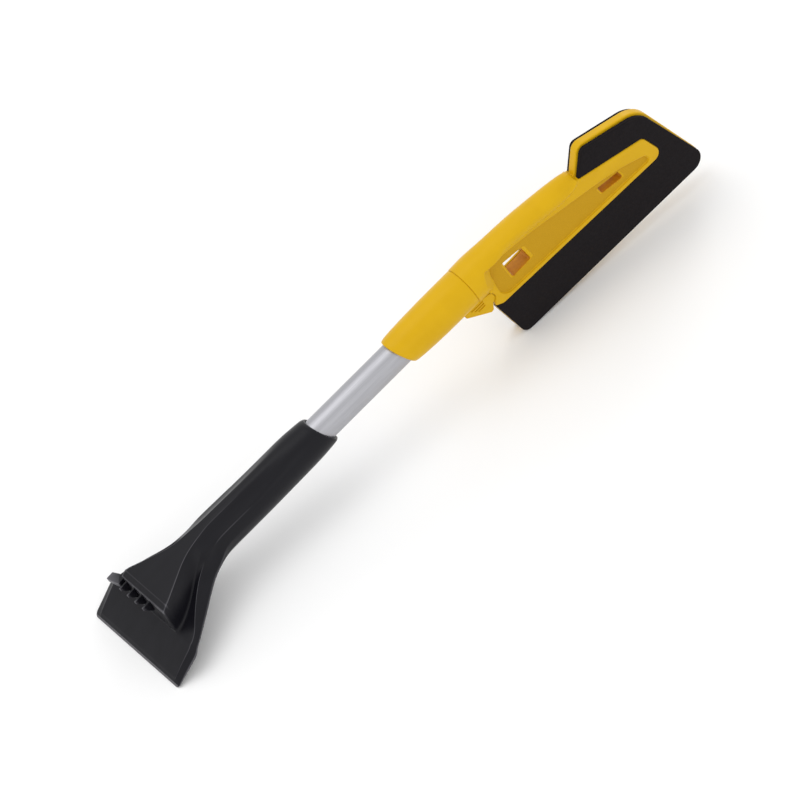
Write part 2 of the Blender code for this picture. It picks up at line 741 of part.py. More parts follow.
def build_latch(yellow, steel):
    """Wedge-shaped lever, its pin and its spring."""
    px, pz = PIVOT
    rear = [
        (px + LEVER_REAR_R * math.cos(math.radians(a)), pz + LEVER_REAR_R * math.sin(math.radians(a)))
        for a in range(75, -76, -15)
    ]
    outline = [(85.0, -17.0), (106.0, -17.0), (106.0, -19.0)] + rear
    outline += rounded(((px, pz, 0), (110.2, -37.4, 1.2), (107.2, -38.2, 1.5), (84.5, -20.6, 0.8)))[1:]
    lever = plate("latch_lever", outline, -LEVER_HALF, LEVER_HALF)
    add(lever, box("nose", (104.6, -4.0, -24.0), (106.8, 4.0, -13.1)))
    cut(lever, rod("collar_clearance", (60, 0, 0), (SEAM + 0.2, 0, 0), COLLAR_R + 0.6, 56))
    cut(lever, rod("neck_clearance_low", (SEAM - 1, 0, 0), (104.3, 0, 0), COLLAR_R + 1.2, 56))
    cut(lever, rod("neck_clearance_high", (107.1, 0, 0), (150, 0, 0), COLLAR_R + 1.2, 56))
    for side in (-1, 1):
        edges = sorted((side * 4.0, side * 12.0))
        cut(lever, box(f"nose_relief_{side + 2}", (103.5, edges[0], -19.0), (107.5, edges[1], -8.0)))
    cut(lever, box("spring_slot", (106.9, -5.3, -60), (140, 5.3, 0)))
    for n in range(3):
        z = GROOVE_TOP - n * GROOVE_PITCH
        start = 93.0 + 2.6 * n
        for side in (-1, 1):
            edges = sorted((side * (LEVER_HALF - 1.2), side * 12))
            cut(lever, box(f"rib_{n}_{side + 2}", (start, edges[0], z - 0.7), (106.0, edges[1], z + 0.7)))
    drilled(lever, "lever_hole", (px, -7.0, pz), (px, 12, pz), PIN_R)
    place(smooth(lever), yellow)
    place(smooth(rod("latch_pin", (px, -6.7, pz), (px, 6.8, pz), PIN_R, 20)), steel)
    build_spring(steel)


def build_spring(steel):
    """Torsion spring round the pin, beside the lug."""
    px, pz = PIVOT
    wire = 0.4
    radius = PIN_R + GAP + wire + 0.5
    turns, per_turn = 2.25, 14
    first, last = -4.6, -4.6 + turns * 1.1
    points = [(px - 3.4, first, pz - radius)]
    for k in range(int(turns * per_turn) + 1):
        angle = -math.pi / 2 + 2 * math.pi * k / per_turn
        y = first + (last - first) * k / (turns * per_turn)
        points.append((px + radius * math.cos(angle), y, pz + radius * math.sin(angle)))
    points.append((points[-1][0], last, pz + 4.6))
    curve = bpy.data.curves.new("latch_spring", "CURVE")
    curve.dimensions = "3D"
    curve.bevel_depth = wire * MM
    curve.bevel_resolution = 1
    curve.use_fill_caps = True
    spline = curve.splines.new("POLY")
    spline.points.add(len(points) - 1)
    for point, co in zip(spline.points, points):
        point.co = (*(c * MM for c in co), 1)
    return place(smooth(baked(bpy.data.objects.new("latch_spring", curve))), steel)


def build_ring(mat):
    """Rubber ring between spigot and socket."""
    inner = SPIGOT_R - 1.6 + GAP
    low, high = RING
    profile = [(SPIGOT_R, high - 0.6), (SPIGOT_R, low + 0.6), (SPIGOT_R - 0.5, low)]
    profile += [(inner, low), (inner, high), (SPIGOT_R - 0.5, high)]
    return place(smooth(turned("friction_ring", profile, 56, closed=True)), mat)


def main():
    """Build every piece and set the tool down."""
    black = material("black_plastic", (0.012, 0.012, 0.014), 0.5)
    yellow = material("yellow_plastic", YELLOW, 0.38)
    metal = material("satin_aluminium", (0.42, 0.42, 0.44), 0.45, 1.0)
    steel = material("zinc_steel", (0.6, 0.6, 0.58), 0.3, 1.0)
    foam = material("black_foam", (0.012, 0.011, 0.012), 0.95)
    rubber = material("black_rubber", (0.02, 0.02, 0.02), 0.7)
    grey = material("grey_plastic", (0.1, 0.1, 0.1), 0.6)
    build_scraper(black)
    build_tube(metal)
    build_plug("tube_plug_lower", TUBE_LOW, 1, GRIP_SCREW_X, grey)
    build_plug("tube_plug_upper", TUBE_HIGH, -1, COLLAR_SCREW_X, grey)
    build_collar(yellow)
    grip_seat = (GRIP_SCREW_X, 0, -GRIP_UNDER + SCREW_SEAT - GAP)
    build_screw("grip_screw", grip_seat, (0, 0, 1), 11.0, SCREW_R, SCREW_HEAD_R, 1.8, steel)
    collar_seat = (COLLAR_SCREW_X, 0, -COLLAR_R + SCREW_SEAT - GAP)
    build_screw("collar_screw", collar_seat, (0, 0, 1), 11.0, SCREW_R, SCREW_HEAD_R, 1.8, steel)
    build_ring(rubber)
    build_frame(yellow)
    build_rear_cover(yellow)
    for n, (x, z) in enumerate(COVER_SCREWS):
        seat = (x, TONGUE_HALF - COVER_SEAT + GAP, z)
        build_screw(f"cover_screw_{n + 1}", seat, (0, -1, 0), 8.0, COVER_SCREW_R, COVER_HEAD_R, 1.2, steel)
    build_foam("foam_front", -1, foam)
    build_foam("foam_rear", 1, foam)
    build_latch(yellow, steel)
    set_down()


def set_down():
    """Stand the tool on its blade edge and foam corner, centred over the origin."""
    foot = corner_arc(HEAD_OUTLINE, FOOT)[0]
    reach = foot - Vector((BLADE_EDGE, -BLADE_DROP))
    tilt = math.atan2(reach.y, reach.x) - math.asin(FOOT_RADIUS / reach.length)
    TOOL.rotation_euler = (0, tilt, 0)
    bpy.context.view_layer.update()
    graph = bpy.context.evaluated_depsgraph_get()
    corners = []
    for obj in PARTS.objects:
        if obj.type == "MESH":
            seen = obj.evaluated_get(graph)
            corners += [seen.matrix_world @ v.co for v in seen.data.vertices]
    low = [min(c[i] for c in corners) for i in range(3)]
    high = [max(c[i] for c in corners) for i in range(3)]
    TOOL.location = (-(low[0] + high[0]) / 2, -(low[1] + high[1]) / 2, -low[2])


main()
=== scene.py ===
"""Looks of the windshield ice scraper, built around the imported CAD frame.

Shapes are drawn in the tool's own frame, in millimetres: +X runs along the tube towards the snow
head, +Z is away from the blade and the front is -Y. TOOL places them in the row frame.
"""

import json
import math

import bmesh
import bpy
from mathutils import Matrix, Vector


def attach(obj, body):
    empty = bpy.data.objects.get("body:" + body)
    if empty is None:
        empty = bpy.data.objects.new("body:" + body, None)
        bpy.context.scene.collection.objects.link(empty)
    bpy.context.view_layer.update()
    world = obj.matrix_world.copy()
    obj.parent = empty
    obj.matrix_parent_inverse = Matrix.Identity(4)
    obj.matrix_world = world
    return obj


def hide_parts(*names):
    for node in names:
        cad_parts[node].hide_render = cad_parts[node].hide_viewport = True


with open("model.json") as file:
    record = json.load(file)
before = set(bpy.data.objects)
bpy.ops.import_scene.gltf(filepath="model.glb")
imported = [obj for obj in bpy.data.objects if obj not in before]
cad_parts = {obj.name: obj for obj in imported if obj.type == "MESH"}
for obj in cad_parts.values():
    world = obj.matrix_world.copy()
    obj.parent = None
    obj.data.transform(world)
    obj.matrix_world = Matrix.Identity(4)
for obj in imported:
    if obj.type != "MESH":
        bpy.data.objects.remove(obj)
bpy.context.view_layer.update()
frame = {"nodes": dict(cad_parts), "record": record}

MM = 0.001
GAP = 0.3  # clearance between two pieces

# ---------------------------------------------------------------- place of the tool

SEAM = 101.5  # ring seam between collar and neck, where the head turns

joints = {joint["name"]: joint for joint in frame["record"]["behaviour"]["joints"]}
AXIS = Vector(joints["head_swivel"]["axis"]).normalized()
TILT = -math.atan2(AXIS.z, AXIS.x)
TURN = Matrix.Rotation(TILT, 4, "Y")
ORIGIN = Vector(joints["head_swivel"]["pos_m"]) - AXIS * (SEAM * MM)
TOOL = Matrix.Translation(ORIGIN) @ TURN @ Matrix.Scale(MM, 4)


def placed(obj):
    """Move a piece drawn in the tool's frame to its place in the row frame."""
    obj.data.transform(TOOL)
    obj.data.update()
    return obj


# ---------------------------------------------------------------- camera and light

ELEVATION = math.radians(48.1)
HEADING = math.radians(11.6)  # how far the camera stands towards the blade end
ROLL = math.radians(44.9)
DISTANCE = 4.64
SENSOR = 36.0
FIELD = 0.6446  # metres that the frame's side takes in at the target
TARGET_X = 20.0  # point on the tube's axis that the camera looks towards
SHIFT = (5.96, -34.5)  # how far the view is moved right and up from there


def aim_camera():
    """Camera at the product shot's angle: from above the front, with the tool along the diagonal."""
    back = Vector((
        -math.sin(HEADING) * math.cos(ELEVATION),
        -math.cos(HEADING) * math.cos(ELEVATION),
        math.sin(ELEVATION),
    ))
    along = Vector((1, 0, 0))
    along = (along - back * along.dot(back)).normalized()
    above = back.cross(along)
    right = along * math.cos(ROLL) - above * math.sin(ROLL)
    up = along * math.sin(ROLL) + above * math.cos(ROLL)
    target = Vector((TARGET_X, 0, 0)) + right * SHIFT[0] + up * SHIFT[1]
    turn = Matrix((right, up, back)).transposed().to_4x4()
    data = bpy.data.cameras.new("camera")
    data.sensor_width = SENSOR
    data.lens = DISTANCE * SENSOR / FIELD
    data.clip_end = 20
    camera = bpy.data.objects.new("camera", data)
    bpy.context.scene.collection.objects.link(camera)
    stand_off = Matrix.Translation((0, 0, DISTANCE))
    camera.matrix_world = Matrix.Translation(TOOL @ target) @ TURN @ turn @ stand_off
    bpy.context.scene.camera = camera


def area_light(name, place, aim, size, power):
    """A soft rectangular light pointed at a place."""
    data = bpy.data.lights.new(name, "AREA")
    data.shape = "RECTANGLE"
    data.size, data.size_y = size
    data.energy = power
    light = bpy.data.objects.new(name, data)
    light.location = place
    light.rotation_euler = (Vector(aim) - Vector(place)).to_track_quat("-Z", "Y").to_euler()
    bpy.context.scene.collection.objects.link(light)


def build_studio():
    """Pale floor, soft sky and three soft lights."""
    mesh = bpy.data.meshes.new("floor")
    bm = bmesh.new()
    bmesh.ops.create_grid(bm, x_segments=4, y_segments=4, size=4.0)
    bm.to_mesh(mesh)
    bm.free()
    floor = bpy.data.objects.new("floor", mesh)
    bpy.context.scene.collection.objects.link(floor)
    mat = bpy.data.materials.new("studio_floor")
    mat.use_nodes = True
    shader = mat.node_tree.nodes["Principled BSDF"]
    shader.inputs["Base Color"].default_value = (0.93, 0.93, 0.93, 1)
    shader.inputs["Roughness"].default_value = 0.9
    shader.inputs["Specular IOR Level"].default_value = 0.1
    floor.data.materials.append(mat)
    world = bpy.data.worlds.new("studio")
    world.use_nodes = True
    sky = world.node_tree.nodes["Background"]
    sky.inputs["Color"].default_value = (1, 1, 1, 1)
    sky.inputs["Strength"].default_value = 0.95
    bpy.context.scene.world = world
    area_light("overhead", (-0.3, 0.4, 1.7), (0, 0, 0), (1.2, 1.2), 5.5)
    area_light("front", (-0.6, -1.8, 1.0), (0, 0, 0.05), (1.2, 0.8), 3)
    area_light("rim", (1.2, 0.9, 0.7), (0, 0, 0.05), (0.5, 0.5), 3)
    bpy.context.scene.view_settings.view_transform = "Standard"


# ---------------------------------------------------------------- materials


class Nodes:
    """A material's node tree, with short calls for what the materials here need."""

    def __init__(self, name, roughness, metallic=0.0, **constants):
        self.mat = bpy.data.materials.new(name)
        self.mat.use_nodes = True
        self.tree = self.mat.node_tree
        self.shader = self.tree.nodes["Principled BSDF"]
        self.shader.inputs["Roughness"].default_value = roughness
        self.shader.inputs["Metallic"].default_value = metallic
        for socket, value in constants.items():
            self.shader.inputs[socket.replace("_", " ")].default_value = value
        self.coords = self.tree.nodes.new("ShaderNodeTexCoord").outputs["Object"]

    def link(self, source, target):
        """Join two sockets."""
        self.tree.links.new(source, target)

    def stretched(self, scale):
        """Object coordinates along the tool, scaled per axis."""
        turn = self.tree.nodes.new("ShaderNodeMapping")
        turn.inputs["Rotation"].default_value = (0, -TILT, 0)
        self.link(self.coords, turn.inputs["Vector"])
        size = self.tree.nodes.new("ShaderNodeMapping")
        size.inputs["Scale"].default_value = scale
        self.link(turn.outputs["Vector"], size.inputs["Vector"])
        return size.outputs["Vector"]

    def noise(self, scale, detail=3.0, stretch=(1, 1, 1)):
        """Noise value at a scale in cells per metre."""
        node = self.tree.nodes.new("ShaderNodeTexNoise")
        node.inputs["Scale"].default_value = scale
        node.inputs["Detail"].default_value = detail
        self.link(self.stretched(stretch), node.inputs["Vector"])
        return node.outputs["Fac"]

    def cells(self, scale):
        """Distance to the nearest cell centre."""
        node = self.tree.nodes.new("ShaderNodeTexVoronoi")
        node.inputs["Scale"].default_value = scale
        self.link(self.coords, node.inputs["Vector"])
        return node.outputs["Distance"]

    def ramp(self, value, stops):
        """Colour ramp of (position, colour) stops."""
        node = self.tree.nodes.new("ShaderNodeValToRGB")
        first, last = node.color_ramp.elements
        first.position, first.color = stops[0][0], (*stops[0][1], 1)
        last.position, last.color = stops[-1][0], (*stops[-1][1], 1)
        for position, colour in stops[1:-1]:
            node.color_ramp.elements.new(position).color = (*colour, 1)
        self.link(value, node.inputs["Fac"])
        return node.outputs["Color"]

    def spread(self, value, low, high):
        """Map a 0 to 1 value to a range."""
        node = self.tree.nodes.new("ShaderNodeMapRange")
        node.inputs["To Min"].default_value = low
        node.inputs["To Max"].default_value = high
        self.link(value, node.inputs["Value"])
        return node.outputs["Result"]

    def colour(self, value, stops):
        """Drive the base colour by a value."""
        self.link(self.ramp(value, stops), self.shader.inputs["Base Color"])

    def edge_wear_and_highlight(self, surface, colour, low, high):
        """Base colour that turns paler along outer edges: painted highlight lines where the edges catch
        the light, and rubbing wear.
        """
        point = self.tree.nodes.new("ShaderNodeNewGeometry").outputs["Pointiness"]
        edge = self.tree.nodes.new("ShaderNodeMapRange")
        edge.inputs["From Min"].default_value = low
        edge.inputs["From Max"].default_value = high
        self.link(point, edge.inputs["Value"])
        mix = self.tree.nodes.new("ShaderNodeMix")
        mix.data_type = "RGBA"
        mix.inputs["B"].default_value = (*colour, 1)
        self.link(edge.outputs["Result"], mix.inputs["Factor"])
        self.link(surface, mix.inputs["A"])
        self.link(mix.outputs["Result"], self.shader.inputs["Base Color"])

    def roughness(self, value, low, high):
        """Drive the roughness by a value."""
        self.link(self.spread(value, low, high), self.shader.inputs["Roughness"])

    def bumps(self, *layers):
        """Stack bump layers of (value, strength, depth in metres)."""
        normal = None
        for value, strength, depth in layers:
            node = self.tree.nodes.new("ShaderNodeBump")
            node.inputs["Strength"].default_value = strength
            node.inputs["Distance"].default_value = depth
            self.link(value, node.inputs["Height"])
            if normal:
                self.link(normal, node.inputs["Normal"])
            normal = node.outputs["Normal"]
        self.link(normal, self.shader.inputs["Normal"])


def black_plastic():
    """Satin black moulding with a fine grain and faint flow streaks along the tool."""
    nodes = Nodes("black_plastic", 0.38, Specular_IOR_Level=0.2)
    streaks = nodes.noise(90, 3, (0.12, 1, 1))
    surface = nodes.ramp(streaks, ((0.3, (0.0040, 0.0038, 0.0062)), (0.7, (0.0062, 0.0060, 0.0090))))
    # paler convex edges: painted highlight lines where the edges catch the light, doubling as edge wear
    nodes.edge_wear_and_highlight(surface, (0.12, 0.117, 0.13), 0.508, 0.55)
    nodes.roughness(nodes.noise(420, 4), 0.32, 0.44)
    nodes.bumps((nodes.noise(1500, 2), 0.18, 0.0002), (streaks, 0.12, 0.0006))
    return nodes.mat


def pale_cutting_edge():
    """The cutting edge of the blade, a paler strip than the black moulding."""
    nodes = Nodes("pale_cutting_edge", 0.5, Specular_IOR_Level=0.2)
    # a paler grey strip along the cutting edge
    nodes.colour(nodes.noise(700, 3), ((0.3, (0.085, 0.083, 0.090)), (0.7, (0.135, 0.132, 0.142))))
    nodes.bumps((nodes.noise(1500, 2), 0.15, 0.0002))
    return nodes.mat


def yellow_plastic():
    """Semi-gloss yellow moulding, slightly uneven."""
    nodes = Nodes("yellow_plastic", 0.34, Specular_IOR_Level=0.14)
    nodes.colour(nodes.noise(45, 3), ((0.3, (0.63, 0.366, 0.0036)), (0.7, (0.67, 0.396, 0.0045))))
    nodes.roughness(nodes.noise(260, 4), 0.28, 0.42)
    nodes.bumps((nodes.noise(900, 2), 0.08, 0.0002), (nodes.noise(60, 2), 0.1, 0.0006))
    return nodes.mat


def yellow_grained_painted_shade():
    """The recess floors: the same plastic with a matt, spark-eroded grain, and a darker colour painted
    in as shade for the sunk recess.
    """
    nodes = Nodes("yellow_grained_painted_shade", 0.6, Specular_IOR_Level=0.12)
    # darker than the yellow moulding: painted shade for the sunk recess floor
    nodes.colour(nodes.noise(1200, 3), ((0.3, (0.50, 0.272, 0.006)), (0.7, (0.57, 0.318, 0.009))))
    nodes.bumps((nodes.noise(2400, 2), 0.35, 0.0002))
    return nodes.mat


def painted_shade_window_walls():
    """The walls of the windows, coloured a darker orange as painted shade inside the openings."""
    nodes = Nodes("painted_shade_window_walls", 0.4, Specular_IOR_Level=0.3)
    # darker orange: painted shade on the walls inside the windows
    nodes.colour(nodes.noise(400, 3), ((0.3, (0.52, 0.200, 0.002)), (0.7, (0.60, 0.255, 0.004))))
    nodes.bumps((nodes.noise(900, 2), 0.1, 0.0002))
    return nodes.mat


def satin_aluminium():
    """Anodised tube with fine lines along it."""
    nodes = Nodes("satin_aluminium", 0.42, 1.0)
    lines = nodes.noise(2600, 2, (0.015, 1, 1))
    nodes.colour(lines, ((0.3, (0.40, 0.40, 0.425)), (0.7, (0.46, 0.46, 0.485))))
    nodes.roughness(nodes.noise(300, 3, (0.2, 1, 1)), 0.36, 0.48)
    nodes.bumps((lines, 0.08, 0.0001))
    return nodes.mat


def black_foam():
    """Closed-cell foam: matt, with fine open pores on the cut faces."""
    nodes = Nodes("black_foam", 0.93, Specular_IOR_Level=0.08, Sheen_Weight=0.02, Sheen_Roughness=0.6)
    pores = nodes.cells(1500)
    nodes.colour(nodes.noise(700, 4), ((0.3, (0.0085, 0.0068, 0.0076)), (0.7, (0.0130, 0.0106, 0.0118))))
    nodes.bumps((pores, 0.3, 0.0004), (nodes.noise(120, 3), 0.15, 0.0008))
    return nodes.mat


def zinc_steel():
    """Zinc-plated screws, pin and spring."""
    nodes = Nodes("zinc_steel", 0.3, 1.0)
    nodes.colour(nodes.noise(900, 3), ((0.3, (0.50, 0.50, 0.49)), (0.7, (0.64, 0.64, 0.62))))
    nodes.roughness(nodes.noise(1600, 3), 0.22, 0.4)
    nodes.bumps((nodes.noise(3000, 2), 0.06, 0.0001))
    return nodes.mat


def hidden_matt(name, dark, light):
    """Plain moulded or rubber piece that only shows when the tool is taken apart."""
    nodes = Nodes(name, 0.62)
    nodes.colour(nodes.noise(500, 3), ((0.3, dark), (0.7, light)))
    nodes.bumps((nodes.noise(1600, 2), 0.12, 0.0002))
    return nodes.mat


FINISH = {
    "black_plastic": black_plastic(),
    "yellow_plastic": yellow_plastic(),
    "satin_aluminium": satin_aluminium(),
    "black_foam": black_foam(),
    "zinc_steel": zinc_steel(),
    "grey_plastic": hidden_matt("grey_plastic", (0.085, 0.085, 0.088), (0.115, 0.115, 0.118)),
    "black_rubber": hidden_matt("black_rubber", (0.016, 0.016, 0.016), (0.026, 0.026, 0.026)),
}
# recess floors and window walls: their colours are darkened as painted shade
GRAINED_SHADED = yellow_grained_painted_shade()
WINDOW_WALL_SHADE = painted_shade_window_walls()
PALE_EDGE_FINISH = pale_cutting_edge()

# ---------------------------------------------------------------- mesh helpers

THROUGH = 40.0  # where a cutter ends that goes right through a piece
# radius and height of the cutter for a screw's seat in the moulding and in the collar
SCREW_SEAT = [(0, 8), (1.9, 8), (1.9, 0), (3.6, 0), (3.6, -14), (0, -14)]


def new_object(name, mesh):
    """Link a mesh into the scene as an object."""
    obj = bpy.data.objects.new(name, mesh)
    bpy.context.scene.collection.objects.link(obj)
    return obj


def baked(obj):
    """Turn an object's modifiers, or a curve, into a plain welded mesh with its rotation applied."""
    bpy.context.view_layer.update()
    graph = bpy.context.evaluated_depsgraph_get()
    mesh = bpy.data.meshes.new_from_object(obj.evaluated_get(graph))
    mesh.transform(obj.matrix_world)
    name = obj.name
    bpy.data.objects.remove(obj, do_unlink=True)
    bm = bmesh.new()
    bm.from_mesh(mesh)
    bmesh.ops.remove_doubles(bm, verts=bm.verts, dist=0.001)
    bmesh.ops.recalc_face_normals(bm, faces=bm.faces)
    bm.to_mesh(mesh)
    bm.free()
    mesh.name = name
    return new_object(name, mesh)


def turned(name, profile, steps=96, closed=False, centre=(0, 0, 0), rotation=(0, math.pi / 2, 0)):
    """Turn a profile of (radius, height) points; it lies along +X unless rotated otherwise."""
    mesh = bpy.data.meshes.new(name)
    verts = [(r, 0, h) for r, h in profile]
    edges = [(i, i + 1) for i in range(len(verts) - 1)]
    if closed:
        edges.append((len(verts) - 1, 0))
    mesh.from_pydata(verts, edges, [])
    obj = new_object(name, mesh)
    screw = obj.modifiers.new("turn", "SCREW")
    screw.axis = "Z"
    screw.steps = steps
    screw.render_steps = steps
    screw.use_merge_vertices = True
    screw.merge_threshold = 0.001
    obj.rotation_euler = rotation
    obj.location = Vector(centre)
    return baked(obj)


def rod(name, start, end, radius, steps=48):
    """A round bar between two points."""
    axis = Vector(end) - Vector(start)
    turn = axis.to_track_quat("Z", "Y").to_euler()
    profile = [(0, axis.length), (radius, axis.length), (radius, 0), (0, 0)]
    return turned(name, profile, steps, centre=start, rotation=turn)


def screw_seat(x, z):
    """Cutter for a pan-head screw put in from below: hole, shoulder and counterbore."""
    return turned("seat", SCREW_SEAT, 48, centre=(x, 0, z), rotation=(0, 0, 0))


def plate(name, outline, low, high, edge=0.0):
    """A flat outline of (x, z) points, solid from y = low to y = high, with rounded edges."""
    curve = bpy.data.curves.new(name, "CURVE")
    curve.dimensions = "2D"
    curve.fill_mode = "BOTH"
    curve.extrude = (high - low) / 2 - edge
    curve.bevel_depth = edge
    curve.bevel_resolution = 4
    curve.offset = -edge
    spline = curve.splines.new("POLY")
    spline.points.add(len(outline) - 1)
    for point, (x, z) in zip(spline.points, outline):
        point.co = (x, z, 0, 1)
    spline.use_cyclic_u = True
    obj = new_object(name, curve)
    obj.rotation_euler = (math.pi / 2, 0, 0)
    obj.location = (0, (high + low) / 2, 0)
    return baked(obj)


def box(name, low, high):
    """A box between two corners."""
    mesh = bpy.data.meshes.new(name)
    bm = bmesh.new()
    bmesh.ops.create_cube(bm, size=1.0)
    low, high = Vector(low), Vector(high)
    for vert in bm.verts:
        vert.co = low + Vector(((c + 0.5) * (h - l) for c, l, h in zip(vert.co, low, high)))
    bm.to_mesh(mesh)
    bm.free()
    return new_object(name, mesh)


def corner_arc(corners, i):
    """Centre, start and finish of the arc that rounds corner i."""
    x, z, radius = corners[i]
    here = Vector((x, z))
    back = (Vector(corners[i - 1][:2]) - here).normalized()
    ahead = (Vector(corners[(i + 1) % len(corners)][:2]) - here).normalized()
    half = back.angle(ahead) / 2
    centre = here + (back + ahead).normalized() * (radius / math.sin(half))
    reach = radius / math.tan(half)
    return centre, here + back * reach, here + ahead * reach


def rounded(corners, per_corner=14):
    """An outline from (x, z, radius) corners, each radius drawn as an arc."""
    outline = []
    for i, (x, z, radius) in enumerate(corners):
        if not radius:
            outline.append((x, z))
            continue
        centre, start, finish = corner_arc(corners, i)
        start, finish = start - centre, finish - centre
        sweep = start.angle_signed(finish)
        for k in range(per_corner + 1):
            angle = -sweep * k / per_corner
            c, s = math.cos(angle), math.sin(angle)
            outline.append((centre.x + c * start.x - s * start.y, centre.y + s * start.x + c * start.y))
    return outline


def loft(name, sections):
    """A skin over sections of equal point count, closed at both ends."""
    mesh = bpy.data.meshes.new(name)
    bm = bmesh.new()
    rings = [[bm.verts.new(Vector(p)) for p in section] for section in sections]
    count = len(rings[0])
    for a, b in zip(rings, rings[1:]):
        for i in range(count):
            j = (i + 1) % count
            bm.faces.new((a[i], a[j], b[j], b[i]))
    bm.faces.new(rings[0])
    bm.faces.new(rings[-1])
    bmesh.ops.recalc_face_normals(bm, faces=bm.faces)
    bm.to_mesh(mesh)
    bm.free()
    return new_object(name, mesh)


def boolean(target, tools, operation="DIFFERENCE"):
    """Cut or join a piece with tools, apply it and remove them."""
    for tool in tools:
        step = target.modifiers.new(tool.name, "BOOLEAN")
        step.operation = operation
        step.object = tool
    target = baked(target)
    for tool in tools:
        bpy.data.objects.remove(tool, do_unlink=True)
    return target


def moulded(obj, voxel, rounds):
    """Fuse overlapping shells into one skin and soften its edges, as a moulding has them."""
    remesh = obj.modifiers.new("skin", "REMESH")
    remesh.mode = "VOXEL"
    remesh.voxel_size = voxel
    soften = obj.modifiers.new("soften", "SMOOTH")
    soften.factor = 0.5
    soften.iterations = rounds
    return baked(obj)


def joined(name, objects):
    """Put several objects' meshes into one object."""
    bm = bmesh.new()
    for obj in objects:
        bm.from_mesh(obj.data)
        bpy.data.objects.remove(obj, do_unlink=True)
    mesh = bpy.data.meshes.new(name)
    bm.to_mesh(mesh)
    bm.free()
    return new_object(name, mesh)


def bevelled(obj, width):
    """Round every sharp edge."""
    bevel = obj.modifiers.new("edges", "BEVEL")
    bevel.width = width
    bevel.segments = 3
    bevel.limit_method = "ANGLE"
    bevel.angle_limit = math.radians(32)
    bevel.harden_normals = False
    return baked(obj)


def smooth(obj, angle=40):
    """Shade a piece smooth, with its real edges sharp."""
    obj.data.shade_smooth()
    obj.data.set_sharp_from_angle(angle=math.radians(angle))
    return obj


def monotone(keys, x):
    """Value at x of a smooth curve through (x, value) keys that never overshoots them."""
    if x <= keys[0][0]:
        return keys[0][1]
    if x >= keys[-1][0]:
        return keys[-1][1]
    steps = [(b[1] - a[1]) / (b[0] - a[0]) for a, b in zip(keys, keys[1:])]
    slopes = [steps[0]]
    for left, right in zip(steps, steps[1:]):
        slopes.append(0.0 if left * right <= 0 else 2 * left * right / (left + right))
    slopes.append(steps[-1])
    i = next(n for n in range(len(steps)) if x <= keys[n + 1][0])
    width = keys[i + 1][0] - keys[i][0]
    t = (x - keys[i][0]) / width
    start = keys[i][1] * (1 + 2 * t) * (1 - t) ** 2 + slopes[i] * width * t * (1 - t) ** 2
    finish = keys[i + 1][1] * t * t * (3 - 2 * t) + slopes[i + 1] * width * t * t * (t - 1)
    return start + finish


def blend(low, high, x):
    """0 below low, 1 above high, smooth between."""
    t = min(1.0, max(0.0, (x - low) / (high - low)))
    return t * t * (3 - 2 * t)


def finished(obj, body, slot, *nodes):
    """Place a piece, give it its finish and let it stand for its CAD nodes."""
    placed(obj)
    if not obj.data.materials:
        obj.data.materials.append(FINISH[slot])
    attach(obj, body)
    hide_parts(*nodes)
    return obj


# ---------------------------------------------------------------- scraper and grip

TUBE_R = 12.5
END_SLOPE = 0.45  # how far the oblique ends move towards the blade per millimetre of height
GRIP_END = -62.7
BLADE_HALF = 59.5
BLADE_EDGE = -292.0
BLADE_DROP = 34.6
BLADE_SLOPE = 0.48
BLADE_RIM = 6.5
PALE_STRIP_WIDTH = 1.5  # of the pale strip along the cutting edge
LIP_FRONT = -259.0
LIP_TOP = 9.8
WALL_FOOT = -261.5
TEETH = 4
FIRST_TOOTH = -9.2
TOOTH_PITCH = 10.7
TOOTH_LENGTH = 8.4
TOOTH_HALF = 0.8
# plan of the wide tooth at the rear corner of the deck: x, y
CORNER_TOOTH = ((-257.0, 27.5), (-258.0, 33.9), (-261.0, 40.8), (-268.0, 40.4), (-266.3, 31.8))
CORNER_TOOTH += ((-265.0, 27.5),)
CORNER_TOOTH_DEPTH = 5.5

# Half of a section, from the top centre round the front to the bottom centre:
# deck middle, deck half way, deck edge, wall, valley, rise, ridge, shoulder,
# rim top, rim bottom, three points of the underside.
GRIP_ANGLES = (0, 6, 12, 23, 34, 45, 56, 68, 88, 112, 135, 158, 180)
DECK_EDGE = 2
RIDGE = 6
RIM = 8
FLANK_DEPTH = 0.6  # hollow of the flat flank between deck edge and ridge

GRIP_RADIUS = [(-180, 19.1), (-130, 18.7), (-95, 18.3), (-84, 18.0), (-72, 17.1), (-65, 16.4)]
GRIP_RADIUS += [(-62.7, 15.2)]
GRIP_LIFT = [(-180, -0.2), (-130, -0.5), (-95, -0.2)]

# x, deck half width, deck z, valley (y, z), ridge (y, z), rim (y, z), keel z
FLARE = (
    (-197, 5.8, 17.8, 12.0, 12.4, 17.0, 7.8, 25.0, -4.4, -18.6),
    (-209, 7.8, 16.7, 15.5, 6.8, 20.0, 5.2, 28.7, -7.1, -18.7),
    (-220, 11.7, 15.8, 19.5, 1.6, 25.5, 2.4, 34.3, -10.2, -18.8),
    (-231, 17.4, 14.9, 25.0, -3.6, 33.0, -1.0, 41.6, -12.0, -18.9),
    (-243, 23.8, 14.0, 30.0, -8.6, 42.0, -6.2, 48.6, -14.6, -19.0),
    (-253.5, 29.0, 13.2, 32.5, -12.4, 50.6, -11.0, 54.2, -17.4, -19.4),
    (-259, 29.6, 9.8, 33.0, -13.6, 53.0, -13.0, 57.4, -18.0, -19.6),
)


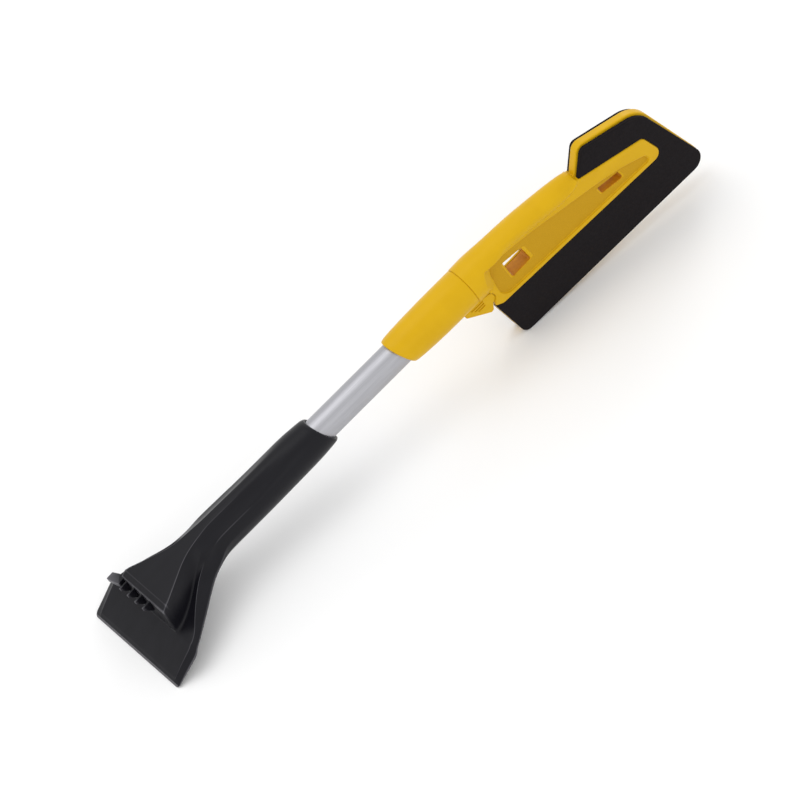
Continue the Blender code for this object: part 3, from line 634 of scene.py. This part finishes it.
# x, thickness and half width of the blade
BLADE = (
    (-292.0, 0.9, BLADE_HALF - 2.6),
    (-291.0, 1.4, BLADE_HALF - 1.0),
    (-289.0, 2.2, BLADE_HALF),
    (-287.6, 2.9, BLADE_HALF),
    (-282.0, 3.9, BLADE_HALF + 0.1),
    (-275.0, 4.8, BLADE_HALF + 0.3),
    (-269.0, 5.4, BLADE_HALF + 0.6),
    (-264.0, 5.8, BLADE_HALF + 0.8),
    (WALL_FOOT, 6.0, BLADE_HALF - 0.2),
)
GRIP_RINGS = (-178, -165, -145, -125, -110, -100, -92, -84, -78, -72, -68, -65, -63.4, GRIP_END)
# x and radius of the end's rim and of the bore behind it
BORE_RINGS = (
    (GRIP_END, TUBE_R + 0.9),
    (GRIP_END - 1.2, TUBE_R + GAP),
    (GRIP_END - 22, TUBE_R + GAP),
)
END_RINGS = 5  # rings round the grip's end, all moderately sharp

# sharpness along the columns of points, and across at some rings by their x
ALONG = {DECK_EDGE: 0.85, DECK_EDGE + 1: 0.3, DECK_EDGE + 2: 0.5, RIDGE: 0.85, RIM: 0.55, RIM + 1: 0.6}
ACROSS = {
    -292.0: 0.9,
    -291.0: 0.4,
    -289.0: 0.3,
    -287.6: 0.5,
    WALL_FOOT: 0.65,
    LIP_FRONT: 0.8,
    -253.5: 0.55,
}


def grip_half(x):
    """Half section of the round grip, whose upper flanks flatten towards the deck."""
    radius = monotone(GRIP_RADIUS, x)
    lift = monotone(GRIP_LIFT, x)
    angles = [math.radians(a) for a in GRIP_ANGLES]
    half = [Vector((radius * math.sin(a), lift + radius * math.cos(a))) for a in angles]
    start, finish = half[DECK_EDGE], half[RIDGE]
    inward = (Vector((0.0, lift)) - (start + finish) / 2).normalized()
    flatness = 1 - blend(-150, -80, x)
    for i in range(DECK_EDGE + 1, RIDGE):
        t = (i - DECK_EDGE) / (RIDGE - DECK_EDGE)
        flat = start.lerp(finish, t) + inward * FLANK_DEPTH * 4 * t * (1 - t)
        half[i] = half[i].lerp(flat, flatness)
    return [tuple(point) for point in half]


def flare_half(row):
    """Half section where the grip opens into deck, valley and wing."""
    _, deck, deck_z, valley, valley_z, ridge, ridge_z, rim, rim_z, keel = row
    return [
        (0, deck_z),
        (deck * 0.55, deck_z),
        (deck, deck_z),
        (deck + 0.8, deck_z - 1.2),
        (valley, valley_z),
        ((valley + ridge) / 2 + 1.0, (valley_z + ridge_z) / 2 - 0.6),
        (ridge, ridge_z),
        (ridge + 1.2, ridge_z - 0.9),
        (rim, rim_z + 1.4),
        (rim - 0.6, rim_z - 0.4),
        (rim * 0.7, rim_z + (keel - rim_z) * 0.55),
        (rim * 0.36, rim_z + (keel - rim_z) * 0.92),
        (0, keel),
    ]


def blade_half(x, thickness, half):
    """Half section of the flat blade, with a bevelled rim along its side."""
    under = -BLADE_DROP + BLADE_SLOPE * (x - BLADE_EDGE)
    top = under + thickness
    flat = half - BLADE_RIM
    points = [(flat * share, top) for share in (0, 0.3, 0.55, 0.58, 0.63, 0.82)]
    points += [(flat, top), (flat + 0.8, top - 0.15 * thickness), (half, under + 0.35 * thickness)]
    points += [(half - 0.5, under), (half * 0.7, under), (half * 0.36, under), (0, under)]
    return points


def whole(half, x, lean=0.0):
    """Mirror a half section and place it at x, leaning with height."""
    front = [(-y, z) for y, z in half]
    rear = [(y, z) for y, z in reversed(half[1:-1])]
    return [(x - lean * z, y, z) for y, z in front + rear]


def scraper_rings():
    """Sections of the moulding from the cutting edge to the bore in the grip's end."""
    keys = [(row[0], flare_half(row)) for row in FLARE]
    keys += [(x, grip_half(x)) for x in (-180, -172)]
    keys.sort()
    rings = [whole(blade_half(x, thickness, half), x) for x, thickness, half in BLADE]
    x = LIP_FRONT
    while x < -180:
        half = [
            (
                monotone([(k, points[i][0]) for k, points in keys], x),
                monotone([(k, points[i][1]) for k, points in keys], x),
            )
            for i in range(len(GRIP_ANGLES))
        ]
        rings.append(whole(half, x))
        x += 5.5 if x < -253.5 else 4.1
    for x in GRIP_RINGS:
        rings.append(whole(grip_half(x), x, END_SLOPE * blend(-112, -80, x)))
    angles = [math.radians(a) for a in GRIP_ANGLES]
    for x, radius in BORE_RINGS:
        half = [(radius * math.sin(a), radius * math.cos(a)) for a in angles]
        rings.append(whole(half, x, END_SLOPE))
    return rings


def crease_lines(obj, rings):
    """Sharpen the deck's edges, the ridge, the rim, the lip and the cutting edge of the cage."""
    mesh = obj.data
    count = len(rings[0])
    crease = mesh.attributes.new("crease_edge", "FLOAT", "EDGE")
    for edge in mesh.edges:
        a, b = sorted(edge.vertices)
        ring, column = divmod(a, count)
        x = rings[ring][0][0]
        mirrored = min(column, count - column)
        if b - a == count and mirrored in ALONG:
            fade = 1 - blend(-195, -135, x)
            crease.data[edge.index].value = ALONG[mirrored] * fade
        elif b // count == ring:
            inner = min(mirrored, min(b % count, count - b % count)) < DECK_EDGE + 2
            sharp = next((v for at, v in ACROSS.items() if abs(at - x) < 0.01), 0.0)
            if x < WALL_FOOT - 0.1 or inner:
                crease.data[edge.index].value = sharp
            if ring >= len(rings) - END_RINGS:
                crease.data[edge.index].value = 0.35


def tooth(name, low_y, high_y, narrow):
    """One ice-breaker tooth, an upright rib in front of the lip, narrower at its tip."""
    top = LIP_TOP - 0.7
    base, tip = LIP_FRONT + 2.0, LIP_FRONT - TOOTH_LENGTH
    root = [(base, low_y, top), (base, high_y, top), (base, high_y, top - 16), (base, low_y, top - 16)]
    low_y, high_y = low_y + narrow, high_y - narrow
    point = [(tip, low_y, top - 0.5), (tip, high_y, top - 0.5)]
    point += [(tip, high_y, top - 4), (tip, low_y, top - 4)]
    return bevelled(loft(name, [root, point]), 0.3)


def corner_tooth():
    """The wide tooth that stands out past the rear corner of the deck."""
    top = LIP_TOP - 0.7
    levels = (top - CORNER_TOOTH_DEPTH, top)
    return bevelled(loft("corner_tooth", [[(x, y, z) for x, y in CORNER_TOOTH] for z in levels]), 0.4)


def build_scraper():
    """The black moulding: grip, flare, deck, teeth and blade."""
    rings = scraper_rings()
    body = loft("scraper_and_grip", rings)
    crease_lines(body, rings)
    skin = body.modifiers.new("skin", "SUBSURF")
    skin.levels = 3
    skin.render_levels = 3
    body = baked(body)
    teeth = [corner_tooth()]
    for index in range(TEETH):
        y = FIRST_TOOTH + index * TOOTH_PITCH
        teeth.append(tooth(f"tooth_{index + 1}", y - TOOTH_HALF, y + TOOTH_HALF, 0.2))
    body = boolean(body, teeth, "UNION")
    body = boolean(body, [screw_seat(-166.0, -15.6)])
    smooth(body, 50)
    for material in (FINISH["black_plastic"], PALE_EDGE_FINISH):
        body.data.materials.append(material)
    # faces along the cutting edge take the paler strip
    for face in body.data.polygons:
        if face.center.x < BLADE_EDGE + PALE_STRIP_WIDTH:
            face.material_index = 1
    finished(body, "handle", "black_plastic", "scraper_grip")


# ---------------------------------------------------------------- tube and collar

COLLAR_R = 17.8
COLLAR_END = 26.6
SPIGOT_R = 13.6
SPIGOT_END = 117.5
SEAM_STEP = 0.25  # how far the sleeve reaches into the seam behind its rounded rim
RING = (111.0, 113.6)
GROOVE = (102.4, 107.6)
GROOVE_R = 12.4


def build_tube():
    """The visible tube, round and smooth."""
    low, high, wall = -175.0, 68.5, 1.2
    profile = [
        (TUBE_R - 0.3, high),
        (TUBE_R, high - 0.3),
        (TUBE_R, low + 0.3),
        (TUBE_R - 0.3, low),
        (TUBE_R - wall, low),
        (TUBE_R - wall, high),
    ]
    tube = turned("aluminium_tube", profile, 128, closed=True)
    finished(smooth(tube), "handle", "satin_aluminium", "handle_tube")


def build_collar():
    """Sleeve on the tube, oblique at the lower end, with a spigot for the neck."""
    bore = TUBE_R + GAP
    stop = 70.6
    # radius, x and how far each ring leans with the oblique end
    rings = [
        (SPIGOT_R - 1.0, SPIGOT_END, 0),
        (SPIGOT_R, SPIGOT_END - 1.0, 0),
        (SPIGOT_R, RING[1] + GAP, 0),
        (SPIGOT_R - 1.6, RING[1] + GAP, 0),
        (SPIGOT_R - 1.6, RING[0] - GAP, 0),
        (SPIGOT_R, RING[0] - GAP, 0),
        (SPIGOT_R, GROOVE[1], 0),
        (GROOVE_R, GROOVE[1], 0),
        (GROOVE_R, GROOVE[0], 0),
        (SPIGOT_R, GROOVE[0], 0),
        (SPIGOT_R, SEAM + SEAM_STEP, 0),
        (COLLAR_R - 0.6, SEAM + SEAM_STEP, 0),
        (COLLAR_R - 0.5, SEAM, 0),
        (COLLAR_R - 0.1, SEAM - 0.15, 0),
        (COLLAR_R, SEAM - 0.5, 0),
        (COLLAR_R, 84, 0),
        (COLLAR_R - 0.1, 66, 0.2),
        (COLLAR_R - 0.5, 50, 0.6),
        (COLLAR_R - 1.1, COLLAR_END + 10, 1),
        (COLLAR_R - 1.7, COLLAR_END + 3.5, 1),
        (COLLAR_R - 2.1, COLLAR_END + 1.5, 1),
        (COLLAR_R - 2.6, COLLAR_END + 0.4, 1),
        (COLLAR_R - 3.3, COLLAR_END, 1),
        (bore + 0.5, COLLAR_END, 1),
        (bore, COLLAR_END + 0.8, 1),
        (bore, stop, 0),
        (SPIGOT_R - 4.0, stop, 0),
        (SPIGOT_R - 4.0, SPIGOT_END, 0),
    ]
    collar = turned("swivel_collar", [(r, x) for r, x, _ in rings], 128, closed=True)
    lean_of = [(x, lean) for _, x, lean in rings]
    for vert in collar.data.vertices:
        lean = max((lean for at, lean in lean_of if abs(at - vert.co.x) < 0.01), default=0)
        vert.co.x -= END_SLOPE * lean * vert.co.z
    collar = boolean(collar, [screw_seat(60.0, -15.4)])
    finished(smooth(collar, 35), "handle", "yellow_plastic", "collar")


# ---------------------------------------------------------------- snow head

CORE_HALF = 3.7
FOAM = (4.0, 8.0)
TONGUE_HALF = 8.8
PANEL_HALF = 6.8
HEAD_OUTLINE = (
    (228.5, 1.9, 0.0),
    (244.5, 25.6, 6.0),
    (302.6, 7.0, 26.0),
    (333.2, -91.2, 12.0),
    (121.2, -86.3, 8.0),
    (112.6, -35.5, 1.0),
)
# the core stands proud of the foam along the top, where these corners take the place of the foam's
CORE_TOP = ((227.0, 3.0, 0.0), (243.6, 28.2, 8.0), (304.5, 8.8, 28.0))
PIVOT = (111.0, -25.5)
PIVOT_HOLLOW_R = 6.05
PIN_R = 1.5
COVER_SCREWS = ((131.0, -18.0), (174.0, -8.5), (174.0, -28.0), (275.5, -34.0))
COVER_HOLE = [(0, 14), (1.5, 14), (1.5, 0), (2.9, 0), (2.9, -14), (0, -14)]  # radius and depth
HEAD_DEPTH = 0.9  # how far the cover screws' heads are sunk

SPINE_RADIUS = [(101, 18.1), (116, 18.5), (135, 17.8), (164, 16.2), (193, 13.6), (213, 11.3), (224, 9.2)]
SPINE_RADIUS += [(228.5, 7.0)]
SPINE_CREASE = [(101, 30), (140, 36), (190, 58), (212, 72), (222, 66), (227, 50)]
SHELL_LOW = [(101, 13.0), (115, 11.5), (129, 8.8), (150, 5.2), (178, 1.6), (192, -0.6), (205, -1.8)]
SHELL_LOW += [(219, -1.4), (224, 0.5), (227, 3.6)]
SHELL_STEP = 1.2  # how far the spine's shell stands proud of the tongue's face
SPINE_END = 227.0
# the neck's cheeks slope in to the tongue's face: y, and x where the cut starts there
CHEEK_SLOPE = ((TONGUE_HALF + 0.15, 126.0), (18.6, 113.4), (40.0, 113.4))
CHEEK_END = 155.6
PANEL_TOP = [(101, 6.0), (117, 5.0), (149, 2.2), (172, -1.4), (201, -8.0), (243, -17.2), (263, -23.0)]
PANEL_TOP += [(283, -31.5)]
PANEL_BOTTOM = (-35.8, -42.0)

TONGUE_TOP = (222.0, 5.0)
TONGUE_TIP = ((293.4, -16.8, 7.0), (302.6, -47.2, 7.5))
TONGUE_ROOT = ((119.5, -39.8, 6.0), (112.9, -35.6, 0.6))

WINDOWS = (
    ((137.6, -6.0, 1.5), (157.4, -8.6, 1.5), (159.8, -25.8, 1.5), (138.8, -26.6, 1.5)),
    ((238.6, -22.8, 1.2), (260.4, -26.2, 1.2), (262.4, -34.8, 1.2), (240.0, -31.0, 1.2)),
)
# shallow sills sunk in the recess floor round the ends of the windows
SILLS = (
    ((135.8, -5.8, 1.5), (160.6, -9.0, 1.5), (163.0, -26.0, 1.5), (137.0, -26.8, 1.5)),
    ((236.9, -22.4, 1.2), (262.0, -26.4, 1.2), (264.0, -35.2, 1.2), (238.4, -30.8, 1.2)),
)
SILL_DEPTH = 0.7


def spine_section(x, grow=0.0):
    """Section of the neck and spine: round at the collar, flat-flanked towards the tip."""
    radius = monotone(SPINE_RADIUS, x) + grow
    crease = math.radians(monotone(SPINE_CREASE, x))
    low = monotone(SHELL_LOW, x) - grow
    flat = blend(112, 150, x)
    arc = [crease * k / 12 for k in range(13)]
    half = [(radius * math.sin(a), radius * math.cos(a)) for a in arc]
    edge_y, edge_z = half[-1]
    foot_y = TONGUE_HALF + SHELL_STEP - 0.6 * blend(222, SPINE_END, x) + grow
    remaining = math.pi - crease
    for k in range(1, 17):
        angle = crease + remaining * k / 16
        round_point = (radius * math.sin(angle), radius * math.cos(angle))
        if k <= 10:
            t = k / 10
            bulge = 0.9 * math.sin(math.pi * t)
            flat_point = (edge_y + (foot_y - edge_y) * t + bulge, edge_z + (low - edge_z) * t)
        else:
            flat_point = (foot_y * (16 - k) / 6, low - 0.2)
        half.append(tuple(a + (b - a) * flat for a, b in zip(round_point, flat_point)))
    half[-1] = (0.0, half[-1][1])
    return whole(half, x)


def spine(name, grow=0.0):
    """The curved bar that carries the head."""
    stations = [SEAM + GAP - grow]
    while stations[-1] < 220:
        stations.append(stations[-1] + 2.5)
    stations += [223.5, 225.5, SPINE_END + grow]
    return loft(name, [spine_section(x, grow) for x in stations])


def cheek_cutter(name, side):
    """What is cut away beside the tongue, under the shell's edge, sloping in from the neck."""
    sections = []
    for y, start in CHEEK_SLOPE:
        edge = [start + (CHEEK_END - start) * k / 16 for k in range(17)]
        outline = [(x, monotone(SHELL_LOW, x) - 0.35) for x in edge]
        outline += [(CHEEK_END, -48.0), (start, -48.0)]
        sections.append([(x, side * y, z) for x, z in outline])
    return loft(name, sections)


def tongue_outline(grow=0.0):
    """Outline of the tongue and web, from the latch pivot round the tip."""
    px, pz = PIVOT
    radius = PIVOT_HOLLOW_R - grow
    pocket = [
        (px + radius * math.cos(math.radians(a)), pz + radius * math.sin(math.radians(a)))
        for a in range(-62, 63, 6)
    ]
    (top_x, top_z), (upper, lower) = TONGUE_TOP, TONGUE_TIP
    corners = [(114.0, -12.0, 0), (135.0, 6.0, 0), (150.0, 9.0, 0), (top_x, top_z + grow, 0)]
    corners += [(upper[0] + grow, upper[1] + grow, upper[2] + grow)]
    corners += [(lower[0] + grow, lower[1] - grow, lower[2] + grow)]
    corners += [(x, z - grow, r) for x, z, r in TONGUE_ROOT]
    return rounded(corners) + pocket


def panel_outline():
    """Recess in the face of the tongue."""
    root, tip = PANEL_BOTTOM
    corners = [(122.5, 4.0, 6.0)]
    corners += [(x, monotone(PANEL_TOP, x), 0) for x in (130, 149, 160, 172, 186, 201, 222, 243, 263)]
    corners += [(286.8, -33.2, 2.6), (289.6, tip, 3.0), (122.0, root, 11.0)]
    return rounded(corners)


def cover_outline():
    """Rear cover, a little smaller than the recess that holds it."""
    root, tip = PANEL_BOTTOM
    corners = [(124.0, 1.5, 4.0)]
    corners += [(x, monotone(PANEL_TOP, x) - 1.2, 0) for x in (149, 160, 172, 186, 201, 222, 243, 263)]
    corners += [(284.5, -33.8, 2.5), (286.5, tip + 1.0, 2.5), (123.4, root + 1.0, 10.0)]
    return rounded(corners)


def core_outline():
    """Flat plate between the foam sheets, running on inside the arm."""
    corners = list(CORE_TOP + HEAD_OUTLINE[len(CORE_TOP):])
    corners += [(118.5, -30.0, 0), (150.0, -6.0, 0), (215.0, -3.0, 0)]
    return rounded(corners)


def foam_outline():
    """Foam sheet: the head's outline, wrapped round the tongue."""
    corners = list(HEAD_OUTLINE)
    corners += [(130.0, -36.0, 0), (285.0, -30.0, 0), (240.0, -8.0, 0)]
    return rounded(corners)


def finish_recess(obj):
    """Give the recess floors the grained finish with its painted shade (slot 1) and the window walls the
    orange painted shade (slot 2).
    """
    for face in obj.data.polygons:
        x, y, z = face.center
        upright = abs(face.normal.y) < 0.6
        for (left, top, _), _, (right, low, _), _ in WINDOWS:
            if upright and left - 0.6 < x < right + 0.6 and low - 1.5 < z < top + 1.0:
                face.material_index = 2
        flat = abs(face.normal.y) > 0.9
        inside = 120 < x < 289.5 and -42 < z < monotone(PANEL_TOP, x) - 0.4
        if flat and inside and abs(abs(y) - PANEL_HALF) < 0.4:
            face.material_index = 1


def build_frame():
    """The yellow moulding of the head."""
    body = joined("snow_head_frame", [
        spine("spine"),
        plate("core", core_outline(), -CORE_HALF, CORE_HALF, 0.5),
        plate("tongue", tongue_outline(), -TONGUE_HALF, TONGUE_HALF, 1.2),
    ])
    body = moulded(body, 0.6, 2)
    cutters = [cheek_cutter(f"cheek_{side + 2}", side) for side in (-1, 1)]
    cutters.append(plate("panel_front", panel_outline(), -THROUGH, -PANEL_HALF))
    cutters.append(plate("panel_rear", panel_outline(), PANEL_HALF, THROUGH))
    for n, (window, sill) in enumerate(zip(WINDOWS, SILLS)):
        cutters.append(plate(f"window_{n + 1}", rounded(window, 5), -THROUGH, THROUGH))
        cutters.append(plate(f"sill_{n + 1}", rounded(sill, 5), -THROUGH, SILL_DEPTH - PANEL_HALF))
    cutters.append(rod("socket", (SEAM - 5, 0, 0), (SPIGOT_END + 2 * GAP, 0, 0), SPIGOT_R + GAP, 96))
    cutters.append(box("nose_slot", (GROOVE[0] + 0.3, -4.8, -22), (GROOVE[1] + 0.2, 4.8, -10)))
    for n, (x, z) in enumerate(COVER_SCREWS):
        cutters.append(rod(f"boss_{n + 1}", (x, 12, z), (x, -2.6, z), 1.5, 24))
    body = boolean(body, cutters)
    body = moulded(body, 0.5, 4)
    px, pz = PIVOT
    lug = [(px - 0.5, -16.5, 0), (px + 9, -16.5, 0), (px + 9, pz - 4.2, 0)]
    lug += [(px, pz - 4.2, 3.7), (px - 3.8, pz, 3.0)]
    body = boolean(body, [plate("lug", rounded(lug), -1.2, 4.6)], "UNION")
    body = boolean(body, [rod("pivot_hole", (px, -12, pz), (px, 12, pz), PIN_R + GAP, 48)])
    smooth(body, 55)
    # slots 1 and 2 carry painted shade for the recess floors and the window walls
    for material in (FINISH["yellow_plastic"], GRAINED_SHADED, WINDOW_WALL_SHADE):
        body.data.materials.append(material)
    finish_recess(body)
    finished(body, "head", "yellow_plastic", "head_frame")


def build_rear_cover():
    """Cover that fills the rear recess."""
    cover = plate("rear_cover", cover_outline(), PANEL_HALF + GAP, TONGUE_HALF, 0.5)
    cutters = []
    for n, corners in enumerate(WINDOWS):
        cutters.append(plate(f"cover_window_{n + 1}", rounded(corners, 5), -THROUGH, THROUGH))
    inward = Vector((0, -1, 0)).to_track_quat("Z", "Y").to_euler()
    for n, (x, z) in enumerate(COVER_SCREWS):
        centre = (x, TONGUE_HALF - HEAD_DEPTH, z)
        cutters.append(turned(f"cover_hole_{n + 1}", COVER_HOLE, 48, centre=centre, rotation=inward))
    cover = boolean(cover, cutters)
    finished(smooth(cover), "head", "yellow_plastic", "arm_rear_cover")


def build_foam(name, side, node):
    """One foam sheet, on the front (-1) or the rear (1)."""
    low, high = sorted((side * FOAM[0], side * FOAM[1]))
    sheet = plate(name, foam_outline(), low, high, 0.9)
    tongue = plate(name + "_tongue", tongue_outline(0.4), -20, 20)
    sheet = boolean(sheet, [tongue, spine(name + "_spine", 0.4)])
    sheet = smooth(sheet)
    finished(sheet, "head", "black_foam", node)


# ---------------------------------------------------------------- latch

LEVER_HALF = 7.6
GROOVE_TOP = -20.6
GROOVE_PITCH = 2.8
GROOVE_DEPTH = 1.2


def build_latch():
    """Wedge-shaped lever with a nose, gripping ribs and a slot for its spring."""
    px, pz = PIVOT
    rear = [
        (px + 5.7 * math.cos(math.radians(a)), pz + 5.7 * math.sin(math.radians(a)))
        for a in range(75, -76, -6)
    ]
    outline = [(85.0, -17.0), (106.0, -17.0), (106.0, -19.0)] + rear
    outline += rounded(((px, pz, 0), (110.2, -37.4, 1.2), (107.2, -38.2, 1.5), (84.5, -20.6, 0.8)))[1:]
    lever = plate("release_lever", outline, -LEVER_HALF, LEVER_HALF)
    lever = boolean(lever, [box("nose", (104.6, -4.0, -24.0), (106.8, 4.0, -13.1))], "UNION")
    cutters = [
        rod("collar_clearance", (60, 0, 0), (SEAM + 0.2, 0, 0), COLLAR_R + 0.6, 96),
        rod("neck_clearance_low", (SEAM - 1, 0, 0), (104.3, 0, 0), COLLAR_R + 1.2, 96),
        rod("neck_clearance_high", (107.1, 0, 0), (150, 0, 0), COLLAR_R + 1.2, 96),
        box("spring_slot", (106.9, -5.3, -60), (140, 5.3, 0)),
        rod("lever_hole", (px, -7, pz), (px, 12, pz), PIN_R + GAP, 48),
    ]
    for side in (-1, 1):
        edges = sorted((side * 4.0, side * 12.0))
        cutters.append(box(f"nose_relief_{side + 2}", (103.5, edges[0], -19.0), (107.5, edges[1], -8.0)))
        for n in range(3):
            z = GROOVE_TOP - n * GROOVE_PITCH
            start = 93.0 + 2.6 * n
            edges = sorted((side * (LEVER_HALF - GROOVE_DEPTH), side * 12))
            low, high = (start, edges[0], z - 0.7), (106.0, edges[1], z + 0.7)
            cutters.append(box(f"rib_{n}_{side + 2}", low, high))
    lever = boolean(lever, cutters)
    lever = moulded(lever, 0.22, 2)
    finished(smooth(lever, 60), "latch", "yellow_plastic", "latch_lever")


# ---------------------------------------------------------------- what the CAD already shapes


def finish_cad_nodes():
    """Give every CAD node that stays in view its slot's material."""
    for part in frame["record"]["subparts"]:
        node = frame["nodes"][part["node"]]
        if node.hide_render:
            continue
        node.data.materials.clear()
        node.data.materials.append(FINISH[part["material_slot"]])


aim_camera()
build_studio()
build_scraper()
build_tube()
build_collar()
build_frame()
build_rear_cover()
build_foam("front_foam", -1, "foam_front")
build_foam("rear_foam", 1, "foam_rear")
build_latch()
finish_cad_nodes()
